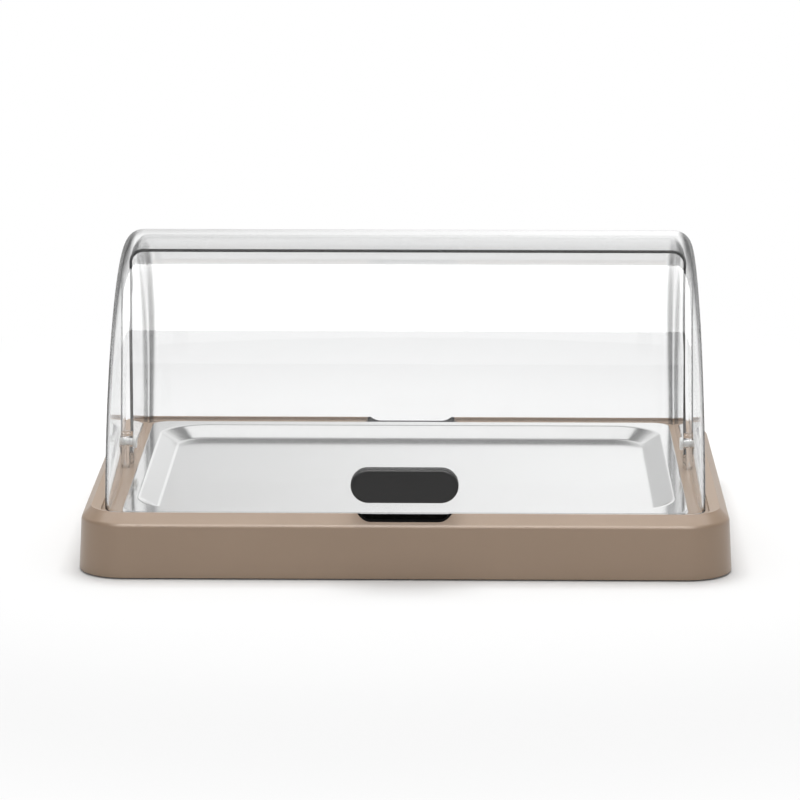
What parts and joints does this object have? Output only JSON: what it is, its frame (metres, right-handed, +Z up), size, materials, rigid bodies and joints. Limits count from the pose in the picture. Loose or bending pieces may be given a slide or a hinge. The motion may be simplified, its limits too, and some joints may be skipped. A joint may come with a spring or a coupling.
{
  "type": "buffet display case",
  "caption": "Cooled buffet display case: a rounded base with a steel serving tray over freezer packs, under a clear roll-top dome that rolls open to the back.",
  "frame": {"origin": "on the table under the middle of the case", "axes": "+X to the case's right as seen from the front, +Y to its back, +Z up"},
  "size_m": [0.44, 0.32, 0.209],
  "materials": {
    "base_plastic": "satin taupe moulded plastic",
    "clear_plastic": "clear polished moulded plastic",
    "bracket_plastic": "clear moulded plastic",
    "pivot_plastic": "milky moulded plastic",
    "tray_steel": "fine satin stainless sheet",
    "black_plastic": "satin black moulded plastic",
    "washer_nylon": "natural nylon",
    "screw_steel": "plated screw steel",
    "foot_rubber": "matt rubber",
    "pack_plastic": "blow-moulded white plastic",
    "cap_plastic": "blue moulded plastic"
  },
  "bodies": {
    "base": {"base_shell": "base_plastic", "bottom_plate": "base_plastic", "bottom_plate_screws": "screw_steel", "front_finger_cup": "black_plastic", "rear_finger_cup": "black_plastic", "freezer_pack_left": "pack_plastic", "filler_cap_left": "cap_plastic", "rubber_foot_front_left": "foot_rubber", "rubber_foot_rear_left": "foot_rubber", "freezer_pack_right": "pack_plastic", "filler_cap_right": "cap_plastic", "rubber_foot_front_right": "foot_rubber", "rubber_foot_rear_right": "foot_rubber"},
    "dome_frame": {"pivot_bracket_left": "bracket_plastic", "pivot_pin_left": "pivot_plastic", "pivot_knob_left": "pivot_plastic", "pivot_bracket_right": "bracket_plastic", "pivot_pin_right": "pivot_plastic", "pivot_knob_right": "pivot_plastic", "rear_cover": "clear_plastic"},
    "front_lid": {"front_cover": "clear_plastic", "front_handle": "black_plastic", "handle_washers": "washer_nylon", "handle_screws": "screw_steel"},
    "tray": {"serving_tray": "tray_steel"}
  },
  "joints": [
    {"name": "dome_lift", "type": "slide", "parent": "base", "child": "dome_frame", "axis": [0, 0, 1], "range_m": [0, 0.12]},
    {"name": "cover_roll", "type": "hinge", "parent": "dome_frame", "child": "front_lid", "pos_m": [0, 0, 0.0585], "axis": [-1, 0, 0], "range_deg": [0, 90]},
    {"name": "tray_lift", "type": "slide", "parent": "base", "child": "tray", "axis": [0, 0, 1], "range_m": [0, 0.035]}
  ]
}
